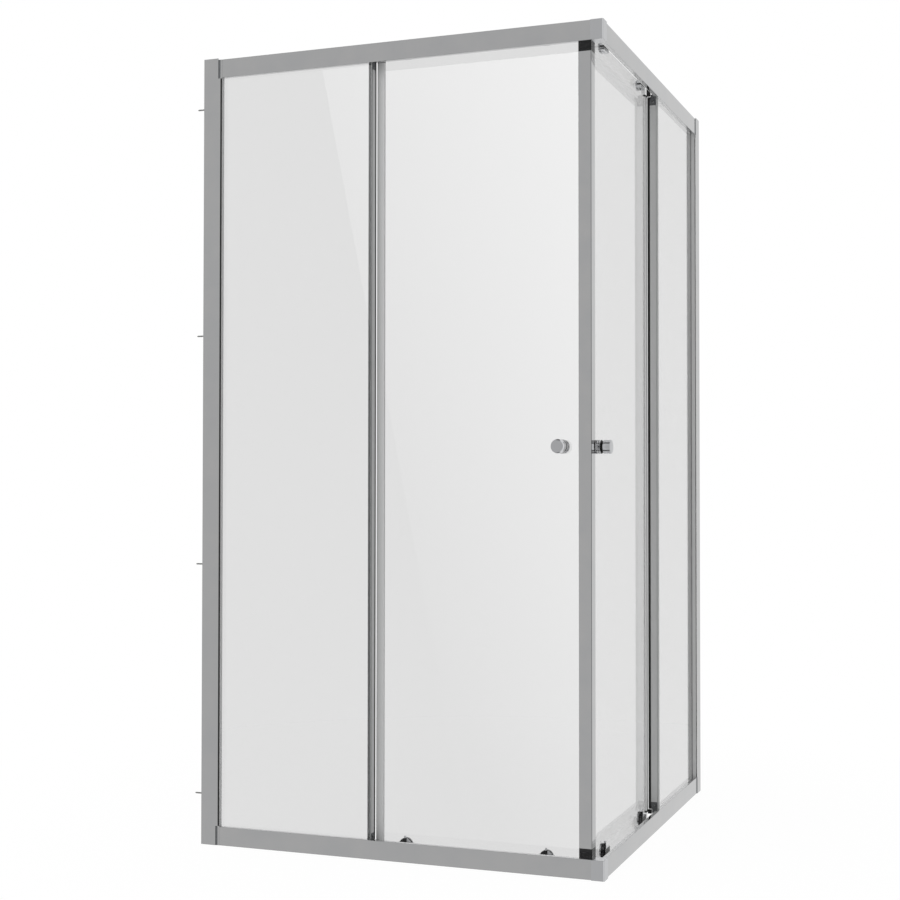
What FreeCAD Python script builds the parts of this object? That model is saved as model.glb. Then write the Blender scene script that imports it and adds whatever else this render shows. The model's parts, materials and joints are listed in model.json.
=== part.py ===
import FreeCAD, Part
import math
import os

# Corner-entry shower enclosure: two fixed panels, two sliding doors that meet at the free corner.
# Sizes are in millimetres, +Z up. The front half stands on the -Y side and runs along X.
# It is drawn in panel coordinates: u from the wall along the panel, v from the rails' outer
# face inwards, z up from the tray. The side half is its mirror image in the plane x + y = 0.

# Overall
side_length = 1000.0
frame_height = 1888.0
edge_round = 0.8

# Wall profile
wall_profile_reach = 45.0
wall_profile_inner_reach = 39.0
wall_profile_wall = 1.6
wall_profile_rise = 3.0
wall_profile_notch = 6.0
notch_margin = 2.0
telescope_gap = 0.4

# Jamb that slides in the wall profile and holds the fixed glass
jamb_start = 14.0
jamb_end = 48.0
jamb_inner_end = 40.0
jamb_depth = 26.0
jamb_wall = 1.6
pocket_depth = 12.0

# Rail, one extrusion that is used upright at the bottom and turned over at the top
rail_height = 44.0
rail_wall = 1.6
rail_tube_depth = 10.0
rail_base_depth = 24.0
rail_inner_lip = 4.0
port_height = 7.0
flange_top = 27.5
flange_thickness = 2.0
rib_thickness = 2.0
rib_height = 4.0
rib_reach = 16.0
groove_lip = 6.5
groove_lip_wall = 1.4
rail_mitre_gap = 0.2

# Glass
glass_thickness = 5.0
gasket_wall = 1.0
gasket_base = 1.5
fixed_reach = 391.0

# Corner joint
corner_leg = 30.0
corner_proud = 3.0
corner_wall = 3.0
corner_rise = 0.5
corner_round = 2.5
corner_foot = 15.0
tongue_length = 20.0
tongue_gap = 0.2

# Upright profile along the fixed panel's free edge
edge_width = 8.7
edge_depth = 16.0
edge_wall = 1.4
edge_foot_height = 10.0
edge_cap_height = 18.0
passing_gap = 0.5
cap_gap = 0.4
cap_bore_r = 2.4
seal_width = 6.0
seal_tip = 1.6

# Sliding door
travel = 400.0
door_gap = 9.0
door_overlap = 2.0
door_inset = 12.0
trail_width = 18.0
trail_wall = 1.6
trail_play = 0.4
trail_inset = 33.0
lead_width = 30.0
lead_depth = 22.0
lead_front_gap = 2.0
lead_inset = 8.0
lead_pocket = 10.0
lead_wall = 1.8
mitre_gap = 0.5
magnet_width = 12.0
magnet_depth = 3.0
magnet_proud = 0.3
seal_clearance = 0.3

# Knob on both faces of the door
knob_r = 15.8
knob_inset = 41.5
knob_z = 947.5
knob_grip = 18.0
knob_neck_r = 10.5
knob_neck = 4.5
knob_groove = 1.0
knob_groove_depth = 1.4
knob_ring = 3.0
knob_reach = 31.5
knob_inner_reach = 11.0
knob_crown = 1.2

# Roller set, one at each end of a door's top and bottom edges
roller_trail_inset = 75.0
roller_lead_inset = 77.0
plate_centre = 31.0
plate_r = 15.5
plate_thickness = 3.5
top_plate_centre = 22.5
top_plate_r = 10.5
cap_thickness = 3.6
housing_half = 19.0
housing_low = 7.0
top_housing_high = 31.0
housing_depth = 10.7
wheel_r = 9.0
groove_r = 7.2
groove_play = 0.4
wheel_width = 7.2
rolling_gap = 0.1
axle_r = 2.0
axle_fit = 0.06
press_fit = 0.02
axle_head_r = 3.2
axle_head = 1.2
axle_seat = 6.0
side_play = 0.3

# Release button of a bottom roller, with its carriage and return spring
button_r = 2.6
button_set_back = 6.3
button_top = 52.0
button_seat = 36.5
button_crown = 0.8
stem_r = 1.3
stem_fit = 0.08
spring_seat = 30.0
spring_bore_gap = 0.3
spring_mean_r = 2.0
spring_wire_r = 0.35
spring_turns = 4
spring_gap = 0.25
carriage_half = 6.8
carriage_low = 9.8
carriage_high = 25.4
carriage_depth = 8.2
carriage_gap = 0.2
carriage_ceiling = 26.0

# Fasteners
wall_screw_r = 1.9
wall_screw_neck_r = 2.2
wall_screw_neck = 0.5
wall_screw_reach = 25.0
wall_screw_head_r = 4.2
wall_screw_head = 2.6
wall_screw_tip = 5.0
wall_screw_v = 13.0
wall_screw_inset = 118.0
wall_screw_count = 4
small_screw_r = 1.6
small_screw_head_r = 3.2
small_screw_head = 2.4
rail_screw_length = 17.6
jamb_screw_length = 8.0
jamb_screw_u = 30.0
jamb_screw_inset = 200.0
jamb_screw_count = 3
cap_screw_r = 1.5
cap_screw_sink = 3.0
glass_screw_r = 2.4
glass_screw_length = 14.0
glass_screw_head_r = 4.2
glass_screw_head = 2.5
glass_screw_half = 8.0
glass_screw_sink = 1.0
glass_hole_r = 3.5
screw_fit = 0.06
head_play = 0.4

# Rubber stop in a rail's track
stop_length = 15.0
stop_width = 7.0
stop_low = 10.0
stop_gap = 0.5

# Places worked out from the sizes above
frame_shift = (wall_screw_reach - corner_proud) / 2
wall_x = frame_shift - side_length / 2
front_y = -frame_shift - side_length / 2
rail_end = side_length + corner_proud - corner_leg
rail_depth = rail_tube_depth + rail_base_depth
rib_inner_v = rail_tube_depth + rib_reach
pocket_floor = jamb_end - pocket_depth
fixed_edge = jamb_end + fixed_reach
glass_v = rail_tube_depth + gasket_wall
groove_end = glass_v + glass_thickness + gasket_wall
glass_low = flange_top + gasket_base
edge_v = glass_v + glass_thickness
edge_end_v = edge_v + edge_depth
edge_low = flange_top + edge_foot_height
edge_start = edge_low + edge_cap_height
door_v = edge_end_v + door_gap
door_back = door_v + glass_thickness
lead_v = rail_depth + lead_front_gap
lead_back = lead_v + lead_depth
lead_start = side_length - lead_v - lead_width
door_trail = fixed_edge + door_overlap
knob_u = lead_start - knob_inset
roller_trail_u = door_trail + roller_trail_inset
roller_lead_u = lead_start - roller_lead_inset
housing_v = door_v - housing_depth
housing_high = edge_low - passing_gap
plate_v = door_v - plate_thickness
rib_low = flange_top - flange_thickness - rib_height
wheel_z = rib_low - groove_r - rolling_gap
wheel_v = rib_inner_v - rib_thickness / 2 - wheel_width / 2
wheel_back = wheel_v + wheel_width
head_v = wheel_v - side_play - axle_head
button_v = housing_v + button_set_back
button_path_v = button_v - button_r - passing_gap
button_path_top = button_top + passing_gap
spring_bore_r = button_r + spring_bore_gap
port_v = rail_tube_depth / 2
port_z = rail_height / 2
seal_high = frame_height - top_plate_centre - top_plate_r - passing_gap
cap_screw_z = edge_low + edge_cap_height / 2
screw_depth = glass_screw_length - glass_thickness - glass_screw_sink
cap_low_v = groove_end + groove_lip_wall + cap_gap
cap_high_v = housing_v - 2 * cap_gap
cap_bore_v = (cap_low_v + cap_high_v) / 2
cap_head_u = fixed_edge - cap_screw_sink - small_screw_head
small_hole_r = small_screw_r + screw_fit
glass_screw_hole_r = glass_screw_r + screw_fit
glass_screw_bore_r = glass_screw_head_r + head_play
roller_places = (roller_trail_u, roller_lead_u)

X = FreeCAD.Vector(1, 0, 0)
Y = FreeCAD.Vector(0, 1, 0)
Z = FreeCAD.Vector(0, 0, 1)
PARTS = {}


def point(u, v, z):
    return FreeCAD.Vector(wall_x + u, front_y + v, z)


def block(u0, u1, v0, v1, z0, z1):
    return Part.makeBox(u1 - u0, v1 - v0, z1 - z0, point(u0, v0, z0))


def rod_u(r, u0, u1, v, z):
    return Part.makeCylinder(r, u1 - u0, point(u0, v, z), X)


def rod_v(r, u, v0, v1, z):
    return Part.makeCylinder(r, v1 - v0, point(u, v0, z), Y)


def rod_z(r, u, v, z0, z1):
    return Part.makeCylinder(r, z1 - z0, point(u, v, z0), Z)


def join(shapes):
    return shapes[0].multiFuse(shapes[1:]).removeSplitter()


def rounded(shape, radius, wanted):
    """Round the straight edges whose two ends both pass the test."""
    edges = []
    for edge in shape.Edges:
        ends = [vertex.Point for vertex in edge.Vertexes]
        if len(ends) == 2 and all(wanted(p.x - wall_x, p.y - front_y, p.z) for p in ends):
            edges.append(edge)
    return shape.makeFillet(radius, edges)


def near(a, b):
    return abs(a - b) < 1e-4


def turned_over(shape):
    """Top rail and its fittings are the bottom ones turned over at mid height."""
    return shape.mirror(FreeCAD.Vector(0, 0, frame_height / 2), Z)


def to_side(shape):
    return shape.mirror(FreeCAD.Vector(0, 0, 0), FreeCAD.Vector(1, 1, 0))


def prism(outline, z0, z1):
    points = [point(u, v, z0) for u, v in outline]
    face = Part.Face(Part.makePolygon(points + points[:1]))
    return face.extrude(FreeCAD.Vector(0, 0, z1 - z0))


def turned(u, z, wire_points):
    """Solid of revolution about the door's normal at (u, z), from (v, radius) corners."""
    points = [point(u, v, z + r) for v, r in wire_points]
    face = Part.Face(Part.makePolygon(points + points[:1]))
    return face.revolve(point(u, 0, z), Y, 360)


def add(name, *shapes):
    solids = [solid for shape in shapes for solid in shape.Solids]
    PARTS[name] = solids


def add_both(name, *shapes):
    add("front_" + name, *shapes)
    add("side_" + name, *[to_side(shape) for shape in shapes])


def add_shared(name, *shapes):
    add(name, *shapes, *[to_side(shape) for shape in shapes])


# Evenly spaced heights between two equal insets
def heights(inset, count, top):
    step = (top - 2 * inset) / (count - 1)
    return [inset + i * step for i in range(count)]


# Wall profile: a channel that stands against the wall, with holes for its wall screws
def wall_profile():
    outer = -telescope_gap - wall_profile_wall
    inner = jamb_depth + telescope_gap
    top = frame_height + wall_profile_rise
    body = join([
        block(0, wall_profile_wall, outer, inner + wall_profile_wall, 0, top),
        block(0, wall_profile_reach, outer, outer + wall_profile_wall, 0, top),
        block(0, wall_profile_inner_reach, inner, inner + wall_profile_wall, 0, top),
    ])
    body = rounded(body, edge_round, lambda u, v, z: near(v, outer) and near(u, 0))
    notch_start = wall_profile_reach - wall_profile_notch
    back = inner + wall_profile_wall + 1
    notch_height = rail_height + notch_margin
    for low, high in ((-1, notch_height), (frame_height - notch_height, top + 1)):
        body = body.cut(block(notch_start, wall_profile_reach + 1, outer - 1, back, low, high))
    for z in heights(wall_screw_inset, wall_screw_count, top):
        body = body.cut(rod_u(wall_screw_neck_r + screw_fit, -1, wall_profile_wall + 1, wall_screw_v, z))
    for z in heights(jamb_screw_inset, jamb_screw_count, frame_height):
        body = body.cut(rod_v(small_hole_r, jamb_screw_u, inner - 1, back, z))
    return body


def wall_screws():
    screws = []
    for z in heights(wall_screw_inset, wall_screw_count, frame_height + wall_profile_rise):
        head_u = wall_profile_wall
        shank = rod_u(wall_screw_r, wall_screw_tip - wall_screw_reach, -wall_screw_neck, wall_screw_v, z)
        neck = rod_u(wall_screw_neck_r, -wall_screw_neck, head_u, wall_screw_v, z)
        head = rod_u(wall_screw_head_r, head_u, head_u + wall_screw_head, wall_screw_v, z)
        tip = Part.makeCone(0, wall_screw_r, wall_screw_tip, point(-wall_screw_reach, wall_screw_v, z), X)
        screws.append(join([shank, neck, head, tip]))
    return screws


# Jamb: closed at its free end, with a pocket for the glass that is deeper on the outer side
def jamb():
    end_face = jamb_end - jamb_wall
    inner_end_face = jamb_inner_end - jamb_wall
    inner_face = jamb_depth - jamb_wall
    low_wall = rail_tube_depth - jamb_wall
    high_wall = groove_end + jamb_wall
    floor_back = pocket_floor - jamb_wall
    section = [
        (jamb_start, jamb_end, 0, jamb_wall),
        (jamb_start, jamb_inner_end, inner_face, jamb_depth),
        (end_face, jamb_end, 0, rail_tube_depth),
        (inner_end_face, jamb_inner_end, groove_end, jamb_depth),
        (floor_back, jamb_end, low_wall, rail_tube_depth),
        (floor_back, jamb_inner_end, groove_end, high_wall),
        (floor_back, pocket_floor, low_wall, high_wall),
    ]
    body = join([block(*sides, 0, frame_height) for sides in section])
    for z in (port_z, frame_height - port_z):
        body = body.cut(rod_u(small_hole_r, end_face - 1, jamb_end + 1, port_v, z))
    for z in heights(jamb_screw_inset, jamb_screw_count, frame_height):
        body = body.cut(rod_v(small_hole_r, jamb_screw_u, inner_face - 1, jamb_depth + 1, z))
    return body


def jamb_screws():
    screws = []
    face = jamb_depth + telescope_gap + wall_profile_wall
    for z in heights(jamb_screw_inset, jamb_screw_count, frame_height):
        shank = rod_v(small_screw_r, jamb_screw_u, face - jamb_screw_length, face, z)
        head = rod_v(small_screw_head_r, jamb_screw_u, face, face + small_screw_head, z)
        screws.append(join([shank, head]))
    return screws


# Heights of the two cells of the rail's tube, above and below its screw port
def tube_cells(gap):
    return [
        (rail_wall + gap, port_z - port_height / 2 - gap),
        (port_z + port_height / 2 + gap, rail_height - rail_wall - gap),
    ]


# Rail: outer tube, glazing groove, track flange with its rib, and a base with an inner lip
def rail():
    tube = block(jamb_end, rail_end, 0, rail_tube_depth, 0, rail_height)
    tube = rounded(tube, edge_round, lambda u, v, z: near(v, 0) and (near(z, 0) or near(z, rail_height)))
    inner_wall = rail_tube_depth - rail_wall
    for cell in tube_cells(0):
        tube = tube.cut(block(jamb_end - 1, rail_end + 1, rail_wall, inner_wall, *cell))
    flange_low = flange_top - flange_thickness
    section = [
        (rail_tube_depth, rail_depth, 0, rail_wall),
        (rail_depth - rail_wall, rail_depth, 0, rail_inner_lip),
        (rail_tube_depth, rib_inner_v, flange_low, flange_top),
        (rib_inner_v - rib_thickness, rib_inner_v, rib_low, flange_top),
        (groove_end, groove_end + groove_lip_wall, flange_low, flange_top + groove_lip),
    ]
    body = join([tube] + [block(jamb_inner_end, rail_end, *sides) for sides in section])
    mitre = side_length - rail_mitre_gap
    beyond = rail_depth + 1
    body = body.cut(prism([(mitre, 0), (mitre, beyond), (mitre - beyond, beyond)], -1, rail_height + 1))
    return body.cut(rod_u(small_hole_r, jamb_end - 1, rail_end + 1, port_v, port_z))


# Screws into both ends of a rail, from inside the jamb and from inside the corner joint
def rail_screws():
    jamb_face = jamb_end - jamb_wall
    corner_face = rail_end + corner_wall
    at_jamb = join([
        rod_u(small_screw_r, jamb_face, jamb_face + rail_screw_length, port_v, port_z),
        rod_u(small_screw_head_r, jamb_face - small_screw_head, jamb_face, port_v, port_z),
    ])
    at_corner = join([
        rod_u(small_screw_r, corner_face - rail_screw_length, corner_face, port_v, port_z),
        rod_u(small_screw_head_r, corner_face, corner_face + small_screw_head, port_v, port_z),
    ])
    return [at_jamb, at_corner]


# Rubber stops beside the rib, where the wheels end their travel
def rail_stops():
    low_v = rib_inner_v - rib_thickness - stop_width
    high_z = flange_top - flange_thickness
    closed = roller_lead_u + wheel_r + stop_gap
    opened = roller_trail_u - travel - wheel_r - stop_gap - stop_length
    high_v = low_v + stop_width
    return [block(u, u + stop_length, low_v, high_v, stop_low, high_z) for u in (closed, opened)]


# Corner joint: an L-shaped shell with tongues that fit in the tubes of both rails
def corner_joint():
    high = rail_height + corner_rise
    low_u = rail_end
    high_u = side_length + corner_proud
    low_v = -corner_proud
    high_v = corner_leg - corner_proud
    body = block(low_u, high_u, low_v, high_v, 0, high)
    body = rounded(body, corner_round, lambda u, v, z: near(u, high_u) and near(v, low_v))
    body = rounded(body, edge_round, lambda u, v, z: near(z, high) and u > low_u + 1 and v < high_v - 1)
    inside = (corner_wall, high - corner_wall)
    body = body.cut(block(low_u + corner_wall, high_u - corner_wall, 0, high_v - corner_wall, *inside))
    body = body.cut(block(low_u - 1, high_u - corner_foot, low_v + corner_foot, high_v + 1, *inside))
    tongue_low = rail_wall + tongue_gap
    tongue_high = rail_tube_depth - tongue_low
    tongue_start = low_u - tongue_length
    cells = tube_cells(tongue_gap)
    tongues = [block(tongue_start, low_u, tongue_low, tongue_high, *cell) for cell in cells]
    hole = rod_u(small_hole_r, low_u - 1, low_u + corner_wall + 1, port_v, port_z)
    body = join([body] + tongues + [to_side(tongue) for tongue in tongues])
    return body.cut(hole).cut(to_side(hole))


# Fixed panel: glass in a rubber channel on three sides, with an upright profile on its free edge
def fixed_glass():
    start = pocket_floor + gasket_base
    return block(start, fixed_edge, glass_v, edge_v, glass_low, frame_height - glass_low)


def glazing_gasket():
    end = fixed_edge + 1
    lip_top = flange_top + groove_lip
    window = (lip_top, frame_height - lip_top)
    glass_span = (glass_low, frame_height - glass_low)
    outside = (flange_top, frame_height - flange_top)
    body = block(pocket_floor, fixed_edge, rail_tube_depth, groove_end, *outside)
    body = body.cut(block(jamb_end, end, rail_tube_depth - 1, edge_v, *window))
    body = body.cut(block(jamb_inner_end, end, glass_v, groove_end + 1, *window))
    return body.cut(block(pocket_floor + gasket_base, end, glass_v, edge_v, *glass_span))


# Edge profile: a tube behind the pane, along its free edge, with a cap at each end
def edge_profile():
    start = fixed_edge - edge_width
    high = frame_height - edge_start
    body = block(start, fixed_edge, edge_v, edge_end_v, edge_start, high)
    body = rounded(body, edge_round, lambda u, v, z: near(u, start) and near(v, edge_end_v))
    inside = (start + edge_wall, fixed_edge - edge_wall, edge_v + edge_wall, edge_end_v - edge_wall)
    return body.cut(block(*inside, edge_start - 1, high + 1))


# Cap of the same section as the profile, on a narrower foot that stands on the rail's flange
def edge_cap():
    start = fixed_edge - edge_width
    body = join([
        block(start, fixed_edge, cap_low_v, cap_high_v, flange_top, edge_low),
        block(start, fixed_edge, edge_v, edge_end_v, edge_low, edge_start),
    ])
    body = body.cut(rod_u(cap_bore_r, cap_head_u, fixed_edge + 1, cap_bore_v, cap_screw_z))
    return body.cut(rod_u(cap_screw_r + screw_fit, start - 1, fixed_edge, cap_bore_v, cap_screw_z))


def edge_cap_screw():
    return join([
        rod_u(cap_screw_r, fixed_edge - edge_width, cap_head_u, cap_bore_v, cap_screw_z),
        rod_u(cap_bore_r - screw_fit, cap_head_u, fixed_edge - cap_screw_sink, cap_bore_v, cap_screw_z),
    ])


# Rubber fin between the edge profile and the passing door, cut back where the trailing button passes
def edge_seal():
    start = fixed_edge - seal_width
    reach = door_v - trail_wall - trail_play - seal_clearance
    outline = [(start, edge_end_v), (fixed_edge, edge_end_v)]
    outline += [(fixed_edge, reach), (fixed_edge - seal_tip, reach)]
    body = prism(outline, edge_low, seal_high)
    return body.cut(block(start - 1, fixed_edge + 1, button_path_v, reach + 1, edge_low - 1, button_path_top))


# Door glass, with holes for its rollers and knob
def door_glass():
    trail_edge = door_trail + trail_wall + trail_play
    span = (door_inset, frame_height - door_inset)
    body = block(trail_edge, lead_start + lead_pocket, door_v, door_back, *span)
    for u in roller_places:
        for side in (-glass_screw_half, glass_screw_half):
            for z in (plate_centre, frame_height - top_plate_centre):
                body = body.cut(rod_v(glass_hole_r, u + side, door_v - 1, door_back + 1, z))
    return body.cut(rod_v(glass_hole_r, knob_u, door_v - 1, door_back + 1, knob_z))


# Outlines beside the mitre, which runs at 45 degrees where the two doors meet
def mitre_u(v, behind):
    """Place along the panel of a plane parallel to the mitre, at a distance behind it."""
    return side_length - v - behind * math.sqrt(2)


def mitre_strip(low, high, width, z0, z1):
    """Strip parallel to the mitre, between two distances behind it, on the middle of the profile."""
    middle = lead_v + lead_depth / 2
    half = width / 2 / math.sqrt(2)
    outline = []
    for along, behind in ((-half, low), (half, low), (half, high), (-half, high)):
        v = middle + along - behind / math.sqrt(2)
        outline.append((mitre_u(v, behind), v))
    return prism(outline, z0, z1)


# Leading profile: mitred to meet the other door's, with a slot for its magnetic strip
def lead_profile():
    low = lead_inset
    high = frame_height - lead_inset
    front = mitre_u(lead_v, mitre_gap)
    back = mitre_u(lead_back, mitre_gap)
    outline = [(lead_start, lead_v), (front, lead_v), (back, lead_back), (lead_start, lead_back)]
    body = prism(outline, low, high)
    body = rounded(body, edge_round, lambda u, v, z: near(u, lead_start))
    body = body.cut(block(lead_start - 1, lead_start + lead_pocket, door_v, door_back, low - 1, high + 1))
    cell_u = lead_start + lead_pocket + lead_wall
    cell_v = lead_v + lead_wall
    cell_back = door_back - lead_wall
    behind = mitre_gap + magnet_depth + lead_wall
    cell = [(cell_u, cell_v), (mitre_u(cell_v, behind), cell_v)]
    cell += [(mitre_u(cell_back, behind), cell_back), (cell_u, cell_back)]
    body = body.cut(prism(cell, low - 1, high + 1))
    slot = mitre_gap + magnet_depth - magnet_proud
    return body.cut(mitre_strip(0, slot, magnet_width, low - 1, high + 1))


def lead_magnet():
    behind = mitre_gap - magnet_proud
    return mitre_strip(behind, behind + magnet_depth, magnet_width, lead_inset, frame_height - lead_inset)


# Trailing channel over the door glass's rear edge
def trail_profile():
    front = door_v - trail_wall - trail_play
    back = door_back + trail_wall + trail_play
    low = trail_inset
    high = frame_height - trail_inset
    body = block(door_trail, door_trail + trail_width, front, back, low, high)
    body = rounded(body, edge_round, lambda u, v, z: near(u, door_trail))
    end = door_trail + trail_width
    inside = (door_trail + trail_wall, end + 1, front + trail_wall, back - trail_wall)
    body = body.cut(block(*inside, low - 1, high + 1))
    bead = end - trail_wall
    beads = [block(bead, end, front, door_v, low, high), block(bead, end, door_back, back, low, high)]
    return join([body] + beads)


# Knobs: a turned grip outside, a low turned button inside, held by one glass screw
def outer_knob():
    tip = door_v - knob_reach
    grip_end = tip + knob_grip
    neck_end = grip_end + knob_neck
    groove = door_v - knob_ring - knob_groove
    body = turned(knob_u, knob_z, [
        (tip, 0),
        (tip, knob_r - 2 * knob_crown),
        (tip + knob_crown, knob_r),
        (grip_end - edge_round, knob_r),
        (grip_end, knob_r - edge_round),
        (grip_end, knob_neck_r),
        (neck_end, knob_neck_r),
        (neck_end, knob_r - edge_round),
        (neck_end + edge_round, knob_r),
        (groove, knob_r),
        (groove, knob_r - knob_groove_depth),
        (groove + knob_groove, knob_r - knob_groove_depth),
        (groove + knob_groove, knob_r),
        (door_v, knob_r),
        (door_v, 0),
    ])
    return body.cut(rod_v(glass_screw_hole_r, knob_u, door_v - screw_depth - 1, door_v + 1, knob_z))


def inner_knob():
    end = door_back + knob_inner_reach
    body = turned(knob_u, knob_z, [
        (door_back, 0),
        (door_back, knob_r),
        (end - knob_crown, knob_r),
        (end, knob_r - 2 * knob_crown),
        (end, 0),
    ])
    body = body.cut(rod_v(glass_screw_hole_r, knob_u, door_back - 1, end, knob_z))
    return body.cut(rod_v(glass_screw_bore_r, knob_u, door_back + glass_screw_sink, end + 1, knob_z))


# One pattern of screw holds the knob and all roller sets to the glass
def glass_screw(u, z):
    head_v = door_back + glass_screw_sink
    return join([
        rod_v(glass_screw_r, u, head_v - glass_screw_length, head_v, z),
        rod_v(glass_screw_head_r, u, head_v, head_v + glass_screw_head, z),
    ])


def roller_screw_places(u):
    return [u - glass_screw_half, u + glass_screw_half]


def glass_screws():
    screws = [glass_screw(knob_u, knob_z)]
    for u in roller_places:
        for place in roller_screw_places(u):
            screws.append(glass_screw(place, plate_centre))
            screws.append(turned_over(glass_screw(place, top_plate_centre)))
    return screws


# Plates of the roller sets, in the door's plane: round at the bottom, low and oval at the top
def bottom_plate(u, v0, v1):
    return rod_v(plate_r, u, v0, v1, plate_centre)


def top_plate(u, v0, v1):
    offset = plate_r - top_plate_r
    ends = [rod_v(top_plate_r, u + side, v0, v1, top_plate_centre) for side in (-offset, offset)]
    middle = (top_plate_centre - top_plate_r, top_plate_centre + top_plate_r)
    return join(ends + [block(u - offset, u + offset, v0, v1, *middle)])


def roller_body(u, plate, centre, high):
    body = block(u - housing_half, u + housing_half, housing_v, door_v, housing_low, high)
    body = rounded(body, edge_round, lambda a, v, z: near(z, high) and not near(v, door_v))
    body = join([body, plate(u, plate_v, door_v)])
    for place in roller_screw_places(u):
        body = body.cut(rod_v(glass_screw_hole_r, place, door_v - screw_depth, door_v + 1, centre))
    return body


def top_housing(u):
    bore = rod_v(axle_r + press_fit, u, housing_v - 1, housing_v + axle_seat, wheel_z)
    return turned_over(roller_body(u, top_plate, top_plate_centre, top_housing_high).cut(bore))


def bottom_housing(u):
    body = roller_body(u, bottom_plate, plate_centre, housing_high)
    pocket_half = carriage_half + carriage_gap
    pocket_v = (housing_v - 1, housing_v + carriage_depth + 2 * carriage_gap)
    body = body.cut(block(u - pocket_half, u + pocket_half, *pocket_v, housing_low - 1, carriage_ceiling))
    body = body.cut(rod_z(stem_r + stem_fit, u, button_v, carriage_ceiling - 1, spring_seat + 1))
    return body.cut(rod_z(spring_bore_r, u, button_v, spring_seat, housing_high + plate_r))


def roller_cap(u, plate, centre):
    end = door_back + cap_thickness
    head_seat = door_back + glass_screw_sink
    body = plate(u, door_back, end)
    for place in roller_screw_places(u):
        body = body.cut(rod_v(glass_screw_hole_r, place, door_back - 1, end, centre))
        body = body.cut(rod_v(glass_screw_bore_r, place, head_seat, end + 1, centre))
    return body


# Axle stub with a shoulder behind the wheel and a head before it
def axle(u, seat):
    shoulder = wheel_back + side_play
    return join([
        rod_v(axle_r, u, head_v, seat, wheel_z),
        rod_v(axle_head_r, u, head_v, head_v + axle_head, wheel_z),
        rod_v(axle_head_r, u, shoulder, housing_v, wheel_z),
    ])


def top_axle(u):
    return turned_over(axle(u, housing_v + axle_seat))


# Grooved wheel that runs on the rail's rib
def wheel(u):
    groove_low = rib_inner_v - rib_thickness - groove_play
    groove_high = rib_inner_v + groove_play
    bore = axle_r + axle_fit
    return turned(u, wheel_z, [
        (wheel_v, bore),
        (wheel_v, wheel_r - edge_round),
        (wheel_v + edge_round, wheel_r),
        (groove_low, wheel_r),
        (groove_low, groove_r),
        (groove_high, groove_r),
        (groove_high, wheel_r),
        (wheel_back - edge_round, wheel_r),
        (wheel_back, wheel_r - edge_round),
        (wheel_back, bore),
    ])


# Release button: cap, stem and carriage in one, with the bottom wheel's axle on the carriage
def release_button(u):
    front = housing_v + carriage_gap
    back = front + carriage_depth
    cap = rod_z(button_r, u, button_v, button_seat, button_top)
    top_edges = [edge for edge in cap.Edges if near(edge.BoundBox.ZMin, button_top)]
    cap = cap.makeFillet(button_crown, top_edges)
    return join([
        cap,
        rod_z(stem_r, u, button_v, carriage_high, button_seat),
        block(u - carriage_half, u + carriage_half, front, back, carriage_low, carriage_high),
        axle(u, front + carriage_depth / 2),
    ])


# Return spring: an open coil, drawn as pairs of tangent arcs over each quarter turn
def coil_point(u, angle, climb):
    return point(u + spring_mean_r * math.cos(angle), button_v + spring_mean_r * math.sin(angle),
                 spring_seat + spring_wire_r + spring_gap + climb * angle)


def coil_tangent(angle, climb):
    across = FreeCAD.Vector(-math.sin(angle), math.cos(angle), 0) * spring_mean_r
    return (across + Z * climb).normalize()


def tangent_arc(start, tangent, end):
    chord = end - start
    along = FreeCAD.Vector(chord).normalize()
    bulge = (tangent - along * tangent.dot(along)).normalize()
    rise = chord.Length / 2 * math.tan(math.acos(tangent.dot(along)) / 2)
    return Part.Arc(start, start + chord / 2 + bulge * rise, end).toShape()


def return_spring(u):
    height = button_seat - spring_seat - 2 * (spring_wire_r + spring_gap)
    climb = height / (2 * math.pi * spring_turns)
    edges = []
    for i in range(4 * spring_turns):
        a, b = i * math.pi / 2, (i + 1) * math.pi / 2
        p, q = coil_point(u, a, climb), coil_point(u, b, climb)
        s, t = coil_tangent(a, climb), coil_tangent(b, climb)
        chord = q - p
        both = s + t
        spread = 2 * (1 - s.dot(t))
        reach = (math.sqrt(chord.dot(both) ** 2 + spread * chord.dot(chord)) - chord.dot(both)) / spread
        middle = (p + q + (s - t) * reach) / 2
        edges.append(tangent_arc(p, s, middle))
        edges.append(tangent_arc(q, t * -1, middle))
    path = Part.Wire(Part.__sortEdges__(edges))
    start = coil_point(u, 0, climb)
    ring = Part.Wire(Part.makeCircle(spring_wire_r, start, coil_tangent(0, climb)))
    samples = [coil_point(u, i * math.pi / 18, climb) for i in range(36 * spring_turns + 1)]
    gap = min((a - b).Length for i, a in enumerate(samples) for b in samples[i + 18:]) - 2 * spring_wire_r
    print("spring turns are at least", round(gap, 3), "mm apart")
    return path.makePipeShell([ring], True, False)


# Frame
add_both("wall_profile", wall_profile())
add_shared("wall_screws", *wall_screws())
add_both("jamb", jamb())
add_shared("jamb_screws", *jamb_screws())
add_both("bottom_rail", rail())
add_both("top_rail", turned_over(rail()))
add("bottom_corner_joint", corner_joint())
add("top_corner_joint", turned_over(corner_joint()))
add_shared("rail_screws", *rail_screws(), *[turned_over(screw) for screw in rail_screws()])
add_shared("rail_stops", *rail_stops(), *[turned_over(stop) for stop in rail_stops()])
add_both("fixed_glass", fixed_glass())
add_shared("glazing_gaskets", glazing_gasket())
add_both("edge_profile", edge_profile())
add_shared("edge_caps", edge_cap(), turned_over(edge_cap()))
add_shared("edge_cap_screws", edge_cap_screw(), turned_over(edge_cap_screw()))
add_shared("edge_seals", edge_seal())

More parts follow.
